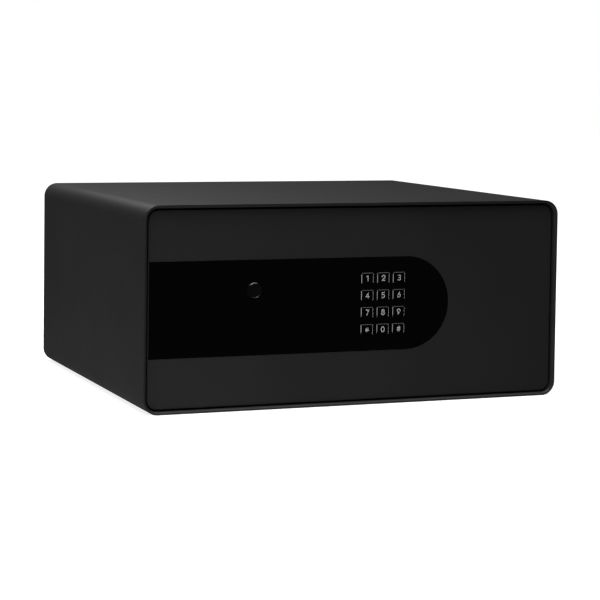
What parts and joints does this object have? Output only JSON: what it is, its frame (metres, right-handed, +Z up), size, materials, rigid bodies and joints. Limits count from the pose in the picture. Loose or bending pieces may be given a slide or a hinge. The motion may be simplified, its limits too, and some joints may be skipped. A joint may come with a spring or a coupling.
{
  "type": "in room safe",
  "caption": "Low wide black steel room safe with rounded edges, a recessed door, a gloss panel with a keypad, a round override cap, motor bolts and a battery door inside.",
  "frame": {"origin": "middle of the base, on the surface the safe stands on", "axes": "+Z up, door faces -Y, +X towards the hinge side"},
  "size_m": [0.43, 0.37, 0.195],
  "materials": {
    "powder_black": "fine-textured matte powder coat",
    "gloss_black": "polished smoked acrylic",
    "key_black": "polished black plastic",
    "cap_black": "satin moulded plastic",
    "zinc_steel": "zinc plated",
    "bolt_steel": "turned and plated",
    "spring_steel": "drawn wire",
    "white_nylon": "machined nylon",
    "black_rubber": "matte",
    "grey_felt": "needle felt",
    "grey_silicone": "moulded silicone",
    "green_board": "solder mask",
    "display_red": "smoked lens",
    "black_plastic": "moulded, fine texture",
    "cell_wrap": "printed sleeve, no lettering",
    "red_wire": "insulated wire",
    "brass": "machined",
    "red_plastic": "moulded"
  },
  "bodies": {
    "cabinet": {"casing_wrap": "powder_black", "rear_panel": "powder_black", "door_frame": "powder_black", "strike_channel": "powder_black", "lower_hinge_pin": "zinc_steel", "hinge_washers": "black_plastic", "spring_cup": "zinc_steel", "pop_spring": "spring_steel", "door_buffers": "black_rubber", "floor_mat": "grey_felt"},
    "door": {"door_plate": "powder_black", "hinge_blocks": "powder_black", "upper_hinge_pin": "zinc_steel", "lock_pan": "powder_black", "bolt_bushes": "white_nylon", "inner_cover": "powder_black", "cover_screws": "zinc_steel", "fascia_panel": "gloss_black", "keypad_mat": "grey_silicone", "keypad_board": "green_board", "display_module": "display_red", "control_board": "green_board", "board_standoffs": "zinc_steel", "board_components": "black_plastic", "position_sensor": "black_plastic", "override_lock_body": "zinc_steel", "lock_flange_screws": "zinc_steel", "battery_box": "black_plastic", "battery_contacts": "zinc_steel", "battery_cells": "cell_wrap", "gearbox_case": "black_plastic", "motor_can": "zinc_steel", "guide_pins": "zinc_steel", "wiring": "red_wire"},
    "bolt_work": {"carriage_plate": "zinc_steel", "release_pin": "zinc_steel", "bolt_upper": "bolt_steel", "bolt_lower": "bolt_steel", "bolt_screws": "zinc_steel"},
    "pinion": {"drive_pinion": "brass", "pinion_shaft": "zinc_steel"},
    "override_plug": {"lock_plug": "brass", "lock_cam": "zinc_steel", "cam_screw": "zinc_steel"},
    "cap": {"override_cap": "cap_black"},
    "key_1_body": {"key_1": "key_black"},
    "key_2_body": {"key_2": "key_black"},
    "key_3_body": {"key_3": "key_black"},
    "key_4_body": {"key_4": "key_black"},
    "key_5_body": {"key_5": "key_black"},
    "key_6_body": {"key_6": "key_black"},
    "key_7_body": {"key_7": "key_black"},
    "key_8_body": {"key_8": "key_black"},
    "key_9_body": {"key_9": "key_black"},
    "key_star_body": {"key_star": "key_black"},
    "key_0_body": {"key_0": "key_black"},
    "key_hash_body": {"key_hash": "key_black"},
    "reset": {"reset_button": "red_plastic"},
    "battery_door": {"battery_lid": "black_plastic"}
  },
  "joints": [
    {"name": "door_swing", "type": "hinge", "parent": "cabinet", "child": "door", "pos_m": [0.1855, -0.1725, 0.0975], "axis": [0, 0, 1], "range_deg": [0, 110], "deforming": ["pop_spring"]},
    {"name": "bolt_slide", "type": "slide", "parent": "door", "child": "bolt_work", "axis": [-1, 0, 0], "range_m": [0, 0.014]},
    {"name": "pinion_spin", "type": "hinge", "parent": "door", "child": "pinion", "pos_m": [-0.052, -0.17, 0.1014], "axis": [0, 1, 0], "range_deg": [0, 100.3]},
    {"name": "override_turn", "type": "hinge", "parent": "door", "child": "override_plug", "pos_m": [-0.105, -0.17, 0.1129], "axis": [0, -1, 0], "range_deg": [0, 90]},
    {"name": "cap_pull", "type": "slide", "parent": "door", "child": "cap", "axis": [0, -1, 0], "range_m": [0, 0.025]},
    {"name": "key_1_press", "type": "slide", "parent": "door", "child": "key_1_body", "axis": [0, 1, 0], "range_m": [0, 0.001], "stiffness_N_per_m": 600, "deforming": ["keypad_mat"]},
    {"name": "key_2_press", "type": "slide", "parent": "door", "child": "key_2_body", "axis": [0, 1, 0], "range_m": [0, 0.001], "stiffness_N_per_m": 600, "deforming": ["keypad_mat"]},
    {"name": "key_3_press", "type": "slide", "parent": "door", "child": "key_3_body", "axis": [0, 1, 0], "range_m": [0, 0.001], "stiffness_N_per_m": 600, "deforming": ["keypad_mat"]},
    {"name": "key_4_press", "type": "slide", "parent": "door", "child": "key_4_body", "axis": [0, 1, 0], "range_m": [0, 0.001], "stiffness_N_per_m": 600, "deforming": ["keypad_mat"]},
    {"name": "key_5_press", "type": "slide", "parent": "door", "child": "key_5_body", "axis": [0, 1, 0], "range_m": [0, 0.001], "stiffness_N_per_m": 600, "deforming": ["keypad_mat"]},
    {"name": "key_6_press", "type": "slide", "parent": "door", "child": "key_6_body", "axis": [0, 1, 0], "range_m": [0, 0.001], "stiffness_N_per_m": 600, "deforming": ["keypad_mat"]},
    {"name": "key_7_press", "type": "slide", "parent": "door", "child": "key_7_body", "axis": [0, 1, 0], "range_m": [0, 0.001], "stiffness_N_per_m": 600, "deforming": ["keypad_mat"]},
    {"name": "key_8_press", "type": "slide", "parent": "door", "child": "key_8_body", "axis": [0, 1, 0], "range_m": [0, 0.001], "stiffness_N_per_m": 600, "deforming": ["keypad_mat"]},
    {"name": "key_9_press", "type": "slide", "parent": "door", "child": "key_9_body", "axis": [0, 1, 0], "range_m": [0, 0.001], "stiffness_N_per_m": 600, "deforming": ["keypad_mat"]},
    {"name": "key_star_press", "type": "slide", "parent": "door", "child": "key_star_body", "axis": [0, 1, 0], "range_m": [0, 0.001], "stiffness_N_per_m": 600, "deforming": ["keypad_mat"]},
    {"name": "key_0_press", "type": "slide", "parent": "door", "child": "key_0_body", "axis": [0, 1, 0], "range_m": [0, 0.001], "stiffness_N_per_m": 600, "deforming": ["keypad_mat"]},
    {"name": "key_hash_press", "type": "slide", "parent": "door", "child": "key_hash_body", "axis": [0, 1, 0], "range_m": [0, 0.001], "stiffness_N_per_m": 600, "deforming": ["keypad_mat"]},
    {"name": "reset_press", "type": "slide", "parent": "door", "child": "reset", "axis": [0, -1, 0], "range_m": [0, 0.002], "stiffness_N_per_m": 500},
    {"name": "battery_lid_pull", "type": "slide", "parent": "door", "child": "battery_door", "axis": [0, 1, 0], "range_m": [0, 0.03]}
  ],
  "couplings": [
    {"joint": "pinion_spin", "follows": "bolt_slide", "rad_per_m": 125}
  ]
}
